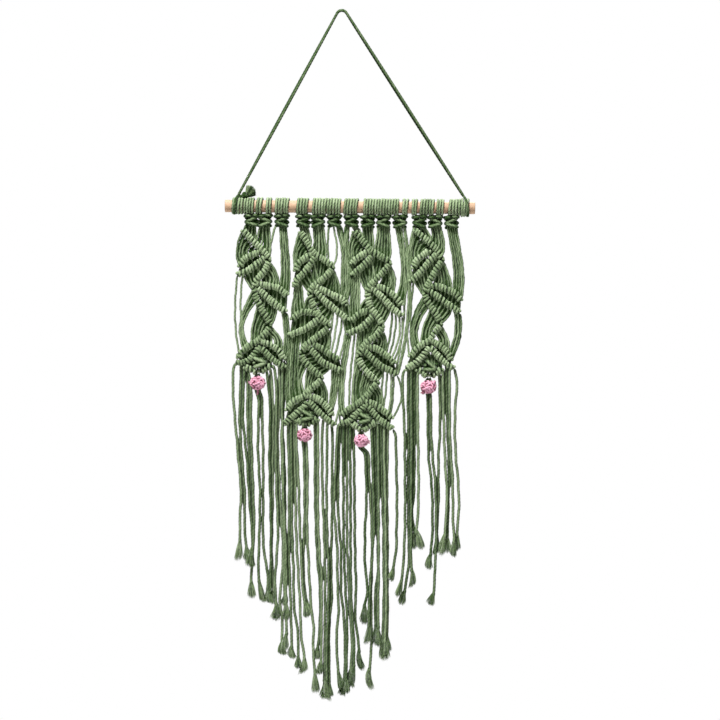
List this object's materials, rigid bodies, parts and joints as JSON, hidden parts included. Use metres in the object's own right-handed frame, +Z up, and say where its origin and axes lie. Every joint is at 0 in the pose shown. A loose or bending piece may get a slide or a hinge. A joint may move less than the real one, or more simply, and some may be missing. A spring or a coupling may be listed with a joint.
{
  "type": "macrame wall hanging on a wooden dowel",
  "caption": "Sage cord macrame wall hanging: knotted leaf vines with small pink knots and a long fringe, on a wooden dowel with a doubled cord hanger.",
  "frame": {"origin": "the point on the inner side of the hanger's bend that rests on the wall's pin", "axes": "+Z up, +X to the right seen from the front, and the front faces -Y"},
  "size_m": [0.3, 0.0228, 0.8279],
  "materials": {
    "beech": "sanded, unvarnished",
    "sage_cotton": "twisted cotton cord, matt",
    "pink_cotton": "twisted cotton cord, matt"
  },
  "bodies": {
    "root": {"dowel": "beech", "vine_1": "sage_cotton", "vine_2": "sage_cotton", "vine_3": "sage_cotton", "vine_4": "sage_cotton", "hanger_cord_front": "sage_cotton", "hanger_cord_back": "sage_cotton", "hanger_tie_left": "sage_cotton", "hanger_tie_right": "sage_cotton", "berry_vine_1": "pink_cotton", "berry_vine_2": "pink_cotton", "berry_vine_3": "pink_cotton", "berry_vine_4": "pink_cotton"}
  },
  "joints": []
}
